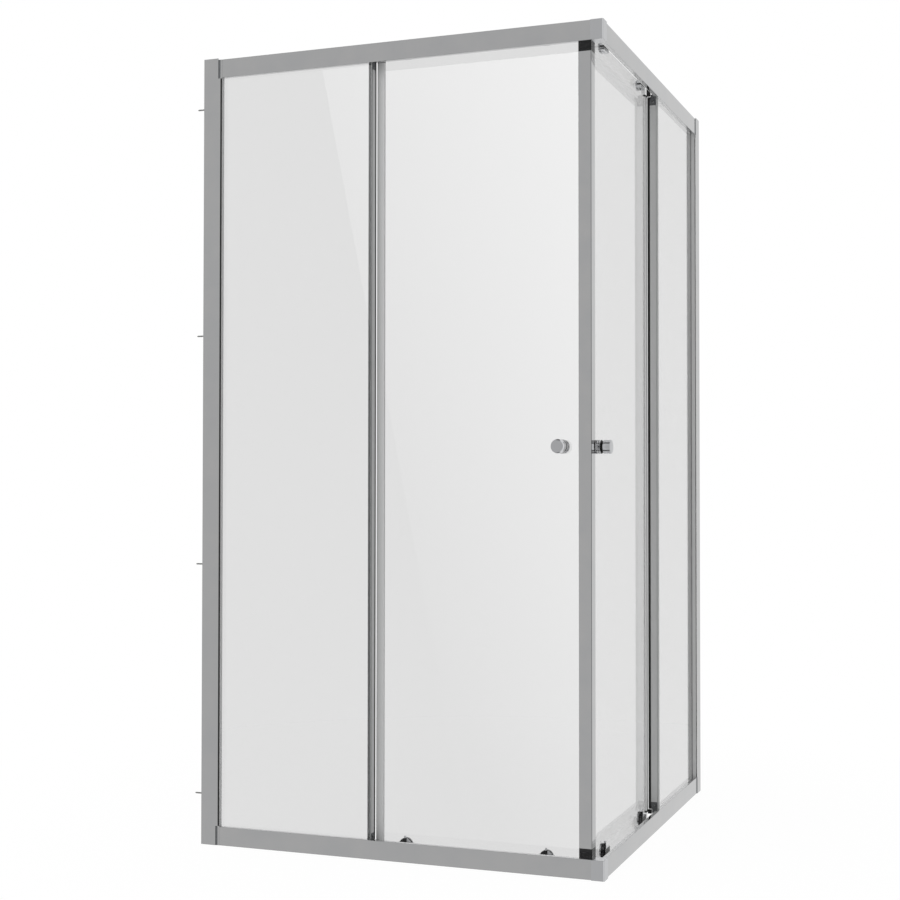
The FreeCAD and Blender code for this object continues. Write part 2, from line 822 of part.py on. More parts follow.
# Doors
add_both("door_glass", door_glass())
add_both("lead_profile", lead_profile())
add_both("lead_magnet", lead_magnet())
add_both("trail_profile", trail_profile())
add_both("outer_knob", outer_knob())
add_both("inner_knob", inner_knob())
add_both("glass_screws", *glass_screws())
add_both("top_housings", *[top_housing(u) for u in roller_places])
add_both("bottom_housings", *[bottom_housing(u) for u in roller_places])
low_caps = [roller_cap(u, bottom_plate, plate_centre) for u in roller_places]
high_caps = [turned_over(roller_cap(u, top_plate, top_plate_centre)) for u in roller_places]
add_both("roller_caps", *low_caps, *high_caps)
add_both("top_axles", *[top_axle(u) for u in roller_places])
for place, u in (("trail", roller_trail_u), ("lead", roller_lead_u)):
    add_both("top_wheel_" + place, turned_over(wheel(u)))
    add_both("bottom_wheel_" + place, wheel(u))
    add_both("release_button_" + place, release_button(u))
    add_both("return_spring_" + place, return_spring(u))

os.makedirs("parts", exist_ok=True)
for name, solids in PARTS.items():
    Part.makeCompound(solids).exportStep("parts/" + name + ".step")
print(len(PARTS), "nodes")
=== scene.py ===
import json
import math
import bmesh
import bpy
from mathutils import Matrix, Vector


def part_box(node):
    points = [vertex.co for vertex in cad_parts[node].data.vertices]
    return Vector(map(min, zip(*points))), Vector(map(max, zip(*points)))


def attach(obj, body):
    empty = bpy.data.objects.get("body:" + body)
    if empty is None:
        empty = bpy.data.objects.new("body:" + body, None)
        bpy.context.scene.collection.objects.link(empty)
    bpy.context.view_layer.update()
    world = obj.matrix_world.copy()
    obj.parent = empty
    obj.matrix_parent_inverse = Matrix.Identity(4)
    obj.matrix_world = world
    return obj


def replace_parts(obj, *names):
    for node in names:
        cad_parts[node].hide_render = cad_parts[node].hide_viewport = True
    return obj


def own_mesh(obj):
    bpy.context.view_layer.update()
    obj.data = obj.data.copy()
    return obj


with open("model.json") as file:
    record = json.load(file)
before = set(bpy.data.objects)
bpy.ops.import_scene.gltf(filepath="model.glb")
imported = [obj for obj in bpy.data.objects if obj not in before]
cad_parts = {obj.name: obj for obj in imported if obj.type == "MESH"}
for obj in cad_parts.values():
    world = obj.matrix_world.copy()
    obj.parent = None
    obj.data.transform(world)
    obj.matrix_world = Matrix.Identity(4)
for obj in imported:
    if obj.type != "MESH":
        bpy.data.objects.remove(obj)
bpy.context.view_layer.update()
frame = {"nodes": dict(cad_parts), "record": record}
scene = bpy.context.scene
nodes = frame["nodes"]
record = frame["record"]
MM = 0.001
SIDES = ("front", "side")
PLACES = ("trail", "lead")
join_distance = 0.001 * MM
smooth_limit = math.radians(25)
# From the middle of the frame to the wall and to the rails' outer face, in mm
to_wall, to_front = 489, 511
wall_x, front_y = -to_wall * MM, -to_front * MM
# Heights between which the uprights stand clear of the rails, and the full height of the rails, in mm
clear_heights = (46, 1842)
full_height = 1888
body_of_node = {node: body for body, held in record["behaviour"]["bodies"].items() for node in held}
slot_of_node = {part["node"]: part["material_slot"] for part in record["subparts"]}


def linear(hex_colour):
    """sRGB hex, such as "9f9f9f", to the linear colour that shaders take."""
    parts = [int(hex_colour[i:i + 2], 16) / 255 for i in (0, 2, 4)]
    return [c / 12.92 if c <= 0.04045 else ((c + 0.055) / 1.055) ** 2.4 for c in parts] + [1.0]


def add(tree, kind, inputs=None, **settings):
    """A node of that kind, with its settings, and its inputs set or linked."""
    made = tree.nodes.new(kind)
    for name, value in settings.items():
        setattr(made, name, value)
    for name, value in (inputs or {}).items():
        for one in value if isinstance(value, list) else [value]:
            if isinstance(one, bpy.types.NodeSocket):
                tree.links.new(one, made.inputs[name])
            else:
                made.inputs[name].default_value = value
    return made


def material(name):
    made = bpy.data.materials.new(name)
    made.use_nodes = True
    made.node_tree.nodes.clear()
    return made, made.node_tree


def close(tree, shader):
    add(tree, "ShaderNodeOutputMaterial", {"Surface": shader.outputs[0]})


def pattern(tree, size, detail=3.0, stretch=(1.0, 1.0, 1.0)):
    """Noise on the piece's own coordinates, with features of about that size in metres."""
    place = add(tree, "ShaderNodeTexCoord").outputs["Object"]
    scale = [1.0 / (size * s) for s in stretch]
    mapped = add(tree, "ShaderNodeMapping", {"Vector": place, "Scale": scale}).outputs[0]
    return add(tree, "ShaderNodeTexNoise", {"Vector": mapped, "Scale": 1.0, "Detail": detail}).outputs[0]


def spread(tree, value, low, high):
    return add(tree, "ShaderNodeMapRange", {"Value": value, "From Min": 0.3, "From Max": 0.7,
                                            "To Min": low, "To Max": high}).outputs[0]


def shades(tree, value, dark, light):
    """Two near shades of one colour, spread by a pattern."""
    mixed = add(tree, "ShaderNodeMix", {0: spread(tree, value, 0.0, 1.0)}, data_type="RGBA")
    mixed.inputs[6].default_value = linear(dark)
    mixed.inputs[7].default_value = linear(light)
    return mixed.outputs[2]


def relief(tree, value, strength, depth):
    return add(tree, "ShaderNodeBump", {"Height": value, "Strength": strength, "Distance": depth}).outputs[0]


# Aluminium, extruded, polished and bright anodised: a soft mirror with faint die lines along its length.
# The lines are drawn 0.6 mm apart, coarser than real ones, so that they show.
def bright_aluminium(axis):
    made, tree = material("bright_anodised_aluminium_" + axis)
    along = [600.0 if a == axis else 1.0 for a in "xyz"]
    lines = pattern(tree, 0.6 * MM, 2.0, along)
    cloud = pattern(tree, 60 * MM)
    close(tree, add(tree, "ShaderNodeBsdfPrincipled", {
        "Base Color": shades(tree, cloud, "c8c9ca", "cdcdcd"), "Metallic": 1.0,
        "Roughness": spread(tree, lines, 0.05, 0.09), "Normal": relief(tree, lines, 0.02, 0.02 * MM)}))
    return made


# Chrome plate on brass or ABS: a clear mirror with a faint orange peel from the polishing
def chrome_plate(name, colour, roughness):
    made, tree = material(name)
    peel = pattern(tree, 3 * MM, 1.0)
    haze = pattern(tree, 12 * MM)
    close(tree, add(tree, "ShaderNodeBsdfPrincipled", {
        "Base Color": linear(colour), "Metallic": 1.0,
        "Roughness": spread(tree, haze, roughness, roughness + 0.04),
        "Normal": relief(tree, peel, 0.03, 0.02 * MM)}))
    return made


glass_ior, plastic_ior = 1.52, 1.53


# Clear toughened float glass: colourless, a little grey in its thickness, with the furnace's faint wave
def clear_glass():
    made, tree = material("clear_toughened_glass")
    close(tree, add(tree, "ShaderNodeBsdfPrincipled", {
        "Base Color": linear("e1e1e1"), "Roughness": 0.0, "IOR": glass_ior, "Transmission Weight": 1.0,
        "Normal": relief(tree, pattern(tree, 220 * MM, 0.0), 0.02, 0.05 * MM)}))
    return made


# Ground glass edge: pale seen straight on, with a painted shade at a slant that follows the angle at which it
# is seen. A satin one also glows, a painted light that stands in for the light that the pane carries.
def ground_edge(name, slant_shade, glow):
    made, tree = material(name)
    grit = pattern(tree, 3 * MM)
    slant = add(tree, "ShaderNodeLayerWeight", {"Blend": 0.5}).outputs["Facing"]
    share = add(tree, "ShaderNodeMapRange", {"Value": slant, "From Min": 0.2, "From Max": 0.5}).outputs[0]
    straight = shades(tree, grit, "b4b6b5", "babcbb")
    shade = add(tree, "ShaderNodeMix", {0: share, 6: straight}, data_type="RGBA")
    shade.inputs[7].default_value = linear(slant_shade)
    close(tree, add(tree, "ShaderNodeBsdfPrincipled", {
        "Base Color": shade.outputs[2], "Roughness": spread(tree, grit, 0.4, 0.5), "IOR": glass_ior,
        "Emission Color": linear("ffffff"), "Emission Strength": glow}))
    return made


# Satin anodised aluminium: pale and soft. Its emission is a painted glow: inside the rails it stands in for the
# light caught between rail and pane.
def satin_aluminium(name, dark, light, glow):
    made, tree = material(name)
    grain = pattern(tree, 2 * MM)
    close(tree, add(tree, "ShaderNodeBsdfPrincipled", {
        "Base Color": shades(tree, grain, dark, light), "Metallic": 0.3,
        "Roughness": spread(tree, grain, 0.5, 0.6),
        "Emission Color": linear("ffffff"), "Emission Strength": glow}))
    return made


# Rolled and drawn steel: grey metal with fine marks left by the tool
def steel(name, dark, light, roughness):
    made, tree = material(name)
    marks = pattern(tree, 0.5 * MM)
    close(tree, add(tree, "ShaderNodeBsdfPrincipled", {
        "Base Color": shades(tree, marks, dark, light), "Metallic": 1.0,
        "Roughness": spread(tree, marks, roughness, roughness + 0.12),
        "Normal": relief(tree, marks, 0.1, 0.02 * MM)}))
    return made


# Moulded or extruded rubber and plastics: even colour, a fine moulded grain and a soft sheen
def moulded(name, dark, light, roughness, grain, depth, ior=1.5):
    made, tree = material(name)
    skin = pattern(tree, grain)
    close(tree, add(tree, "ShaderNodeBsdfPrincipled", {
        "Base Color": shades(tree, pattern(tree, 20 * MM), dark, light), "IOR": ior,
        "Roughness": spread(tree, skin, roughness, roughness + 0.15),
        "Normal": relief(tree, skin, 0.3, depth)}))
    return made


aluminium = {axis: bright_aluminium(axis) for axis in "xyz"}
glass = clear_glass()
# Door pane edges glow with a painted light; fixed pane edges take a dark painted shade at a slant
glowing_rim = ground_edge("satin_glass_edge", "b7b9b8", 0.42)
slant_shaded_rim = ground_edge("ground_glass_edge", "6c6e6e", 0.0)
# The rail lining glows with a painted light; the plain satin does not glow
glowing_lining = satin_aluminium("satin_anodised_rail_inside", "c2c3c3", "cacaca", 0.22)
satin = satin_aluminium("satin_anodised_aluminium", "c2c3c3", "c9c9c9", 0.0)
looks = {
    "chrome": chrome_plate("chrome_plated_brass", "cbccce", 0.04),
    "chrome_plastic": chrome_plate("chrome_plated_abs", "cfd0d2", 0.07),
    "steel": steel("stainless_steel", "a9aaa9", "bcbcba", 0.22),
    "spring_steel": steel("spring_wire", "84858a", "97979a", 0.28),
    "black_rubber": moulded("black_epdm_rubber", "0d0d0d", "161616", 0.5, 0.5 * MM, 0.03 * MM),
    "grey_rubber": moulded("grey_glazing_rubber", "98989a", "a4a4a6", 0.5, 0.5 * MM, 0.03 * MM),
    "magnet_strip": moulded("magnet_strip", "101012", "19191b", 0.4, 0.8 * MM, 0.02 * MM),
    "white_nylon": moulded("white_nylon", "dedcd6", "e8e7e2", 0.3, 0.7 * MM, 0.01 * MM, plastic_ior),
    "grey_plastic": moulded("grey_abs", "4c4e50", "585a5c", 0.25, 0.6 * MM, 0.01 * MM, plastic_ior),
    "black_plastic": moulded("black_abs", "0c0c0d", "141415", 0.12, 0.6 * MM, 0.01 * MM, plastic_ior),
}
# Darker grey rubber where the gaskets meet the jamb: painted shade
jamb_shade_rubber = moulded("dark_glazing_rubber", "626264", "6c6c6e", 0.5, 0.5 * MM, 0.03 * MM)
# A darker grey finish on the front faces of each edge profile
darker_face_grey = moulded("grey_bonding_tape", "76787a", "7c7e80", 0.6, 0.4 * MM, 0.01 * MM)
uprights = ("wall_profile", "jamb", "edge_profile", "lead_profile", "trail_profile")
for name, slot in slot_of_node.items():
    finish = looks.get(slot, glass)
    if slot == "polished_aluminium":
        finish = aluminium["z" if name.endswith(uprights) else "x" if name.startswith("front") else "y"]
    nodes[name].data.materials.clear()
    nodes[name].data.materials.append(finish)


def piece(name, mesh, body):
    made = bpy.data.objects.new(name, mesh)
    scene.collection.objects.link(made)
    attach(made, body)
    return made


def merged_copy(node):
    """The node's mesh with its loose triangles joined, as a bmesh."""
    shape = bmesh.new()
    shape.from_mesh(nodes[node].data)
    bmesh.ops.remove_doubles(shape, verts=shape.verts, dist=join_distance)
    return shape


def panel_place(spot):
    """A spot in mm along, across and up its panel: from the wall, the rails' outer face and the tray."""
    x, y = (spot.x, spot.y) if -spot.y > spot.x else (-spot.y, -spot.x)
    return x / MM + to_wall, y / MM + to_front, spot.z / MM


def stand_in(shape, node, suffix, finishes):
    """The finished bmesh in place of the node, on its body and slot, smooth between its sharp edges."""
    for face in shape.faces:
        face.smooth = True
    for edge in shape.edges:
        edge.smooth = edge.calc_face_angle(math.pi) < smooth_limit
    mesh = bpy.data.meshes.new(node + suffix)
    for finish in finishes:
        mesh.materials.append(finish)
    shape.to_mesh(mesh)
    shape.free()
    made = piece(node + suffix, mesh, body_of_node[node])
    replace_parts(made, node)
    return made


def toned(node, suffix, finishes, which, heights=(), lengths=()):
    """A copy of the node, cut at some heights and at some lengths from the wall in mm, with the finish on
    each face that its place asks for."""
    shape = merged_copy(node)
    along = Vector((1, 0, 0)) if node.startswith("front") else Vector((0, -1, 0))
    cuts = [(Vector((0, 0, 1)), z * MM) for z in heights]
    cuts += [(along, u * MM + wall_x) for u in lengths]
    for way, distance in cuts:
        whole = shape.verts[:] + shape.edges[:] + shape.faces[:]
        bmesh.ops.bisect_plane(shape, geom=whole, plane_co=way * distance, plane_no=way)
    for face in shape.faces:
        face.material_index = int(which(*panel_place(face.calc_center_median())))
    stand_in(shape, node, suffix, finishes)


# Glass panes with arrissed edges, a hair thinner than their seats so that no faces coincide
seat_hair, arris = 0.05 * MM, 0.5 * MM
corner_angle, flat_on = 0.8, 0.99


def pane(node, across, edge):
    shape = merged_copy(node)
    middle = sum(v.co[across] for v in shape.verts) / len(shape.verts)
    for v in shape.verts:
        v.co[across] -= math.copysign(seat_hair, v.co[across] - middle)
    sharp = [e for e in shape.edges if len(e.link_faces) == 2 and e.calc_face_angle() > corner_angle]
    bmesh.ops.bevel(shape, geom=sharp, offset=arris, segments=1, affect="EDGES", profile=0.5)
    for face in shape.faces:
        face.material_index = 0 if abs(face.normal[across]) > flat_on else 1
    return stand_in(shape, node, "_pane", (glass, edge))


panes = [pane(side + kind, across, edge) for side, across in (("front", 1), ("side", 0))
         for kind, edge in (("_fixed_glass", slant_shaded_rim), ("_door_glass", glowing_rim))]

# Places in mm where a finish changes, along (u), across (v) and up (z) a panel, each a hair past a face
gasket_end_u = 48.1
jamb_end_u, jamb_lip_u = 47.9, (39.9, 40.1)
cap_back_v = 31.9
darker_face_v, edge_end_u = 16.01, 438.9
rail_inside_v, rail_inside_z = 9.99, (0.5, 1887.5)
lead_bright_z = (58, 1831)
channel_face_v, channel_end_u, channel_floor_v = 39.01, 458.9, (45.5, 46.5)
housing_top_v, housing_top_z = 37.4, (36.9, 37.1)
plate_v, plate_low_z, plate_highlight_u, plate_highlight_width = 37.55, 37.05, (519.2, 860.2), 14
housing_shade_line_z = (1862.5, 1867)
roller_cap_back_v = 46.05
button_shade_top_z = 47
knob_ring_v, knob_line_v, inner_knob_end_v = (26.9, 32.6), (36.99, 38.01), 55.9
black, plated = looks["black_plastic"], looks["chrome_plastic"]
chrome, upright_metal = looks["chrome"], aluminium["z"]


def between(value, limits):
    return limits[0] < value < limits[1]


def on_top_or_highlight_patch(u, v, z):
    """True on a bottom housing's flat top, and on its plate beside the button on one side, a painted highlight.
    """
    beside_button = any(start < u < start + plate_highlight_width for start in plate_highlight_u)
    on_top = between(z, housing_top_z) and v < housing_top_v
    return on_top or (z > plate_low_z and v < plate_v and beside_button)


def channel_finish(u, v, z):
    """Which finish a rear channel has: 1, satin, on its face, and 2, satin with painted glow, on its end and
    floor.
    """
    if v < channel_face_v:
        return 1
    return 2 if u > channel_end_u or between(v, channel_floor_v) else 0


# Gaskets darker at the jamb, as a painted shade of the gap there, and edge caps with a bright back
toned("glazing_gaskets", "_faced", (looks["grey_rubber"], jamb_shade_rubber),
      lambda u, v, z: u < gasket_end_u and between(z, clear_heights))
toned("edge_caps", "_backed", (looks["grey_plastic"], upright_metal), lambda u, v, z: v > cap_back_v)
for side, axis in (("front", "x"), ("side", "y")):
    # Profiles: jambs with satin ends, edge profiles darker grey in front with a satin end, rails satin inside
    # with a painted glow, leading profiles with black ends, and rear channels satin outside and, with the
    # painted glow, inside
    toned(side + "_jamb", "_faced", (upright_metal, satin),
          lambda u, v, z: u > jamb_end_u or between(u, jamb_lip_u))
    toned(side + "_edge_profile", "_taped", (upright_metal, darker_face_grey, satin),
          lambda u, v, z: 1 if v < darker_face_v else 2 if u > edge_end_u else 0)
    for level in ("_bottom_rail", "_top_rail"):
        toned(side + level, "_lined", (aluminium[axis], glowing_lining),
              lambda u, v, z: v > rail_inside_v and between(z, rail_inside_z))
    toned(side + "_lead_profile", "_ended", (upright_metal, black),
          lambda u, v, z: not between(z, lead_bright_z), lead_bright_z)
    toned(side + "_trail_profile", "_faced", (upright_metal, satin, glowing_lining), channel_finish)
    # Rollers: black bottom housings, plated on top and, as a painted highlight, on one side of each button;
    # plated top housings with a black line of painted shade; plated caps with a satin back on the glass; and
    # buttons with plated tops and, below them, black as painted shade
    toned(side + "_bottom_housings", "_plated", (black, plated), on_top_or_highlight_patch, (plate_low_z,), plate_highlight_u)
    # The black line on each top housing is painted shade of the gap under the rail
    toned(side + "_top_housings", "_lined", (plated, black),
          lambda u, v, z: between(z, housing_shade_line_z), housing_shade_line_z)
    toned(side + "_roller_caps", "_backed", (plated, satin), lambda u, v, z: v < roller_cap_back_v)
    for place in PLACES:
        # Black on each button's lower part is painted shade; plated above
        toned(side + "_release_button_" + place, "_topped", (black, plated),
              lambda u, v, z: z > button_shade_top_z, (button_shade_top_z,))
    # Knobs: black rings outside and a black end inside
    toned(side + "_outer_knob", "_ringed", (chrome, looks["black_rubber"]),
          lambda u, v, z: between(v, knob_ring_v) or between(v, knob_line_v))
    toned(side + "_inner_knob", "_ended", (chrome, black), lambda u, v, z: v > inner_knob_end_v)

# Return springs of the release buttons, each a finished copy of its node with a mesh of its own
for side in SIDES:
    for place in PLACES:
        node = side + "_return_spring_" + place
        low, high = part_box(node)
        coil = stand_in(merged_copy(node), node, "_coil", (looks["spring_steel"],))
        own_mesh(coil)


flat_angle = 0.01


def strip(name, side, box, rounding, body, slot):
    """Upright strip with rounded edges, from its limits in mm along, across and up the panel."""
    u0, u1, v0, v1, z0, z1 = [edge * MM for edge in box]
    shape = bmesh.new()
    spots = [(wall_x + u, front_y + v, z) for u in (u0, u1) for v in (v0, v1) for z in (z0, z1)]
    for x, y, z in spots:
        shape.verts.new((x, y, z) if side == "front" else (-y, -x, z))
    bmesh.ops.convex_hull(shape, input=shape.verts)
    bmesh.ops.dissolve_limit(shape, angle_limit=flat_angle, verts=shape.verts, edges=shape.edges)
    bmesh.ops.bevel(shape, geom=shape.edges, offset=rounding * MM, segments=2, affect="EDGES", profile=0.5)
    bmesh.ops.recalc_face_normals(shape, faces=shape.faces)
    mesh = bpy.data.meshes.new(side + name)
    mesh.materials.append(looks[slot])
    shape.to_mesh(mesh)
    shape.free()
    piece(side + name, mesh, body)


# Strips in the gap between each wall profile and its jamb, black between the rails and, beside them, dark grey
# as a painted shade of the jamb in the notch; the soft ends of the edge seal; black plugs over the ends of each
# door's rear channel, with lips that close the gap to the edge profile above and below the seal. Limits are in
# mm along, across and up.
film_rounding, fin_rounding, plug_rounding = 0.15, 0.2, 0.4
wall_gap_v = (-0.38, -0.02)
gap_strip_u, short_gap_strip_u = (36, 48.4), (36, 43.5)
beside_rails = (("_low", 0, clear_heights[0]), ("_high", clear_heights[1], full_height))
seal_foot = (437.4, 439, 33.6, 38.7, 37.6, 52.6)
seal_head = (433.2, 439, 29.55, 31.95, 1850.55, 1854.5)
plug_across, plug_ends = (440.9, 459.1, 38.9, 48.1), (("_low", 31.5, 36.5), ("_high", 1851.8, 1856.8))
lip_across, lip_ends = (439.2, 447, 29.7, 38.95), (("_low", 27, 37), ("_high", 1855.3, 1877))
for side in SIDES:
    strip("_wall_gap_strip", side, (*gap_strip_u, *wall_gap_v, *clear_heights), film_rounding, "frame", "black_rubber")
    # Dark grey beside the rails: painted shade of the jamb's face in the notch
    for name, low, high in beside_rails:
        strip("_wall_gap_strip" + name, side, (*short_gap_strip_u, *wall_gap_v, low, high), film_rounding, "frame",
              "grey_plastic")
    strip("_seal_foot", side, seal_foot, fin_rounding, "frame", "black_rubber")
    strip("_seal_head", side, seal_head, fin_rounding, "frame", "black_rubber")
    for name, low, high in plug_ends:
        strip("_trail_plug" + name, side, (*plug_across, low, high), plug_rounding, side + "_door",
              "black_rubber")
    for name, low, high in lip_ends:
        strip("_trail_lip" + name, side, (*lip_across, low, high), plug_rounding, side + "_door",
              "black_rubber")

# Screws with a cross recess and a thread, drawn once as a node tree and set on the points of each pattern
screw_sizes = ("Head Radius", "Head Height", "Shank Radius", "Length", "Tip Length", "Tip Radius",
               "Thread Length", "Pitch")
# Shares of a screw's own sizes: the head's top, the cross's length and width, and the thread's ridge
crown_share, cross_length_share, cross_width_share, ridge_share = 0.78, 1.1, 0.26, 0.32
end_slice = 0.1 * MM


def screw_tree():
    tree = bpy.data.node_groups.new("cross_recess_screws", "GeometryNodeTree")
    tree.interface.new_socket("Points", in_out="INPUT", socket_type="NodeSocketGeometry")
    for name in screw_sizes:
        tree.interface.new_socket(name, in_out="INPUT", socket_type="NodeSocketFloat")
    tree.interface.new_socket("Metal", in_out="INPUT", socket_type="NodeSocketMaterial")
    tree.interface.new_socket("Screws", in_out="OUTPUT", socket_type="NodeSocketGeometry")
    given = add(tree, "NodeGroupInput").outputs

    def maths(operation, a, b):
        return add(tree, "ShaderNodeMath", {0: a, 1: b}, operation=operation).outputs[0]

    def lowered(geometry, depth):
        drop = add(tree, "ShaderNodeCombineXYZ", {"Z": maths("MULTIPLY", depth, -1.0)}).outputs[0]
        return add(tree, "GeometryNodeTransform", {"Geometry": geometry, "Translation": drop}).outputs[0]

    # Pan head: a low cylinder whose top is drawn in, with a cross cut into it
    blank = add(tree, "GeometryNodeMeshCylinder", {
        "Vertices": 40, "Side Segments": 8, "Radius": given["Head Radius"],
        "Depth": given["Head Height"]}).outputs[0]
    place = add(tree, "GeometryNodeInputPosition").outputs[0]
    height = add(tree, "ShaderNodeSeparateXYZ", {0: place}).outputs["Z"]
    level = maths("DIVIDE", height, given["Head Height"])
    drawn = add(tree, "ShaderNodeMapRange", {
        "Value": level, "From Min": 0.0, "From Max": 0.5, "To Min": 1.0,
        "To Max": crown_share}, interpolation_type="SMOOTHSTEP").outputs[0]
    squeeze = add(tree, "ShaderNodeCombineXYZ", {"X": drawn, "Y": drawn, "Z": 1.0}).outputs[0]
    shaped = add(tree, "ShaderNodeVectorMath", {0: place, 1: squeeze}, operation="MULTIPLY").outputs[0]
    pan = add(tree, "GeometryNodeSetPosition", {"Geometry": blank, "Position": shaped}).outputs[0]
    pan = lowered(pan, maths("MULTIPLY", given["Head Height"], 0.5))
    slot_length = maths("MULTIPLY", given["Head Radius"], cross_length_share)
    slot_width = maths("MULTIPLY", given["Head Radius"], cross_width_share)
    slots = []
    for x, y in ((slot_length, slot_width), (slot_width, slot_length)):
        size = add(tree, "ShaderNodeCombineXYZ", {"X": x, "Y": y, "Z": given["Head Height"]}).outputs[0]
        slots.append(add(tree, "GeometryNodeMeshCube", {"Size": size}).outputs[0])
    head = add(tree, "GeometryNodeMeshBoolean", {"Mesh 1": pan, "Mesh 2": slots},
               operation="DIFFERENCE").outputs[0]

    # Shank: a core, a tapered end and a ridge wound round both
    ridge = maths("MULTIPLY", given["Pitch"], ridge_share)
    core_radius = maths("SUBTRACT", given["Shank Radius"], ridge)
    under_head = maths("SUBTRACT", given["Length"], given["Head Height"])
    straight = maths("SUBTRACT", under_head, given["Tip Length"])
    core = add(tree, "GeometryNodeMeshCylinder", {
        "Vertices": 24, "Radius": core_radius, "Depth": straight}).outputs[0]
    core = lowered(core, maths("ADD", given["Head Height"], maths("MULTIPLY", straight, 0.5)))
    end = add(tree, "GeometryNodeMeshCone", {
        "Vertices": 24, "Radius Top": core_radius, "Radius Bottom": given["Tip Radius"],
        "Depth": given["Tip Length"]}).outputs[0]
    end = lowered(end, given["Length"])
    turns = maths("DIVIDE", given["Thread Length"], given["Pitch"])
    path = add(tree, "GeometryNodeCurveSpiral", {
        "Resolution": 20, "Rotations": turns, "Start Radius": core_radius, "End Radius": core_radius,
        "Height": given["Thread Length"]}).outputs[0]
    section = add(tree, "GeometryNodeCurvePrimitiveCircle", {"Resolution": 4, "Radius": ridge}).outputs[0]
    thread = add(tree, "GeometryNodeCurveToMesh", {
        "Curve": path, "Profile Curve": section, "Fill Caps": True}).outputs[0]
    thread = lowered(thread, maths("SUBTRACT", given["Length"], given["Tip Length"]))

    screw = add(tree, "GeometryNodeJoinGeometry", {0: [head, core, end, thread]}).outputs[0]
    axis = add(tree, "GeometryNodeInputNamedAttribute", {"Name": "axis"},
               data_type="FLOAT_VECTOR").outputs[0]
    turned = add(tree, "FunctionNodeAlignRotationToVector", {"Vector": axis}, axis="Z").outputs[0]
    placed = add(tree, "GeometryNodeInstanceOnPoints", {
        "Points": given["Points"], "Instance": screw, "Rotation": turned}).outputs[0]
    real = add(tree, "GeometryNodeRealizeInstances", {0: placed}).outputs[0]
    done = add(tree, "GeometryNodeSetMaterial", {"Geometry": real, "Material": given["Metal"]}).outputs[0]
    add(tree, "NodeGroupOutput", {0: done})
    return tree


def screw_places(node):
    """Middle of each screw's head and the way it faces, read from the node's separate solids."""
    shape = merged_copy(node)
    left = set(shape.verts)
    places = []
    while left:
        solid, edge = set(), [left.pop()]
        while edge:
            v = edge.pop()
            solid.add(v)
            for near in (e.other_vert(v) for e in v.link_edges):
                if near in left:
                    left.remove(near)
                    edge.append(near)
        low = Vector([min(v.co[i] for v in solid) for i in range(3)])
        high = Vector([max(v.co[i] for v in solid) for i in range(3)])
        along = max(range(3), key=lambda i: high[i] - low[i])
        across = (along + 1) % 3
        middle = (low + high) / 2

        def width(level):
            ring = [v for v in solid if abs(v.co[along] - level) < end_slice]
            return max(abs(v.co[across] - middle[across]) for v in ring)

        facing = 1.0 if width(high[along]) > width(low[along]) else -1.0
        middle[along] = high[along] if facing > 0 else low[along]
        places.append((middle, Vector([facing if i == along else 0.0 for i in range(3)])))
    shape.free()
    return places


def set_screws(node, tree, *sizes):
    places = screw_places(node)
    mesh = bpy.data.meshes.new(node + "_points")
    mesh.from_pydata([place for place, _ in places], [], [])
    mesh.attributes.new("axis", "FLOAT_VECTOR", "POINT").data.foreach_set(
        "vector", [c for _, facing in places for c in facing])
    points = bpy.data.objects.new(node + "_points", mesh)
    scene.collection.objects.link(points)
    setting = points.modifiers.new("screws", "NODES")
    socket = {item.name: item.identifier for item in tree.interface.items_tree if item.in_out == "INPUT"}
    setting.node_group = tree
    for name, size in zip(screw_sizes, sizes):
        setting[socket[name]] = size * MM
    setting[socket["Metal"]] = looks["steel"]
    ready = points.evaluated_get(bpy.context.evaluated_depsgraph_get())
    finished = bpy.data.meshes.new_from_object(ready)
    finished.name = node + "_threaded"
    bpy.data.objects.remove(points)
    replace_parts(piece(node + "_threaded", finished, body_of_node[node]), node)


# Sizes of each pattern in mm, in the order of screw_sizes
glass_screw = (4.2, 2.5, 2.4, 16.5, 0.8, 1.6, 8.0, 0.8)
screw_patterns = {
    "wall_screws": (4.2, 2.6, 1.9, 29.2, 2.0, 0.9, 22.0, 1.4),
    "jamb_screws": (3.2, 2.4, 1.6, 10.4, 0.8, 0.8, 6.6, 0.8),
    "edge_cap_screws": (2.34, 2.4, 1.5, 5.7, 0.6, 0.8, 2.4, 0.7),
    "front_glass_screws": glass_screw,
    "side_glass_screws": glass_screw,
}
screws = screw_tree()
for node, sizes in screw_patterns.items():
    set_screws(node, screws, *sizes)

# World: white to the camera and through glass. To reflections it is a soft studio, greyer in front
# on the left, brighter behind on the right, brightest in front on the right, with a dark band above
# and below that draws the dark lines on turned chrome. To matt surfaces it is an even light.
brighter_way, studio_greys, even_light = (0.33, 0.94, 0.0), (0.58, 0.76), 0.8
band_start, band_end, band_depth = (0.7, 0.8), (0.9, 0.97), 0.92
window_right, window_front, window_light = (0.0, 0.18), (-0.3, -0.7), 0.42
world = bpy.data.worlds.new("studio")
scene.world = world
world.use_nodes = True
tree = world.node_tree
tree.nodes.clear()
rays = add(tree, "ShaderNodeLightPath")
towards = add(tree, "ShaderNodeTexCoord").outputs["Object"]
side_on = add(tree, "ShaderNodeVectorMath", {0: towards, 1: brighter_way}, operation="DOT_PRODUCT")
grade = add(tree, "ShaderNodeMapRange", {
    "Value": side_on.outputs["Value"], "From Min": -1.0, "From Max": 1.0,
    "To Min": studio_greys[0], "To Max": studio_greys[1]})
way = add(tree, "ShaderNodeSeparateXYZ", {0: towards}).outputs
steep = add(tree, "ShaderNodeMath", {0: way["Z"]}, operation="ABSOLUTE").outputs[0]


def step(value, limits, low, high):
    """Smooth step of the studio's brightness."""
    return add(tree, "ShaderNodeMapRange", {
        "Value": value, "From Min": limits[0], "From Max": limits[1], "To Min": low,
        "To Max": high}, interpolation_type="SMOOTHSTEP").outputs[0]


def product(a, b):
    return add(tree, "ShaderNodeMath", {0: a, 1: b}, operation="MULTIPLY").outputs[0]


